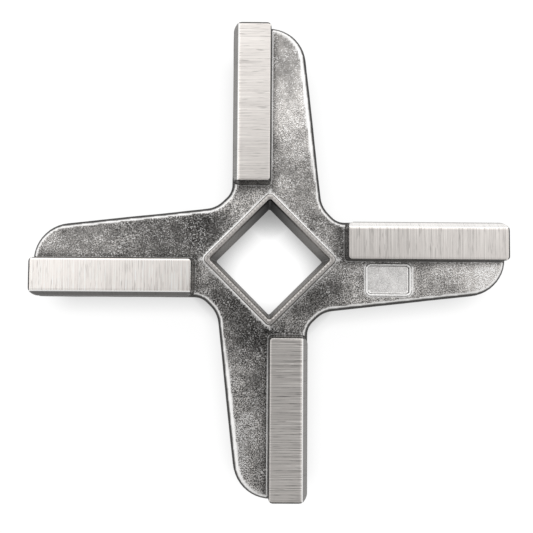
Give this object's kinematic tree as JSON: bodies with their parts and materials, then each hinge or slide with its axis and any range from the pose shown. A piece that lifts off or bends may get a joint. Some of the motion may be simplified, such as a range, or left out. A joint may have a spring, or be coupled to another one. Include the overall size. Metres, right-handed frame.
{
  "type": "meat grinder knife",
  "caption": "Cross-shaped meat grinder knife: a steel casting with ground, bevelled cutting lands along its arms and a rimmed square drive hole at its hub.",
  "frame": {"origin": "on the axis of the square drive hole, at the back face of the hub boss, which the knife rests on", "axes": "+Z along the drive axis, from the feed screw towards the grinder plate; +X along the arm with the sunk panel"},
  "size_m": [0.0802, 0.0802, 0.012],
  "materials": {
    "cast_steel": "cast and blasted web, ground lands"
  },
  "bodies": {
    "root": {"grinder_knife": "cast_steel"}
  },
  "joints": []
}
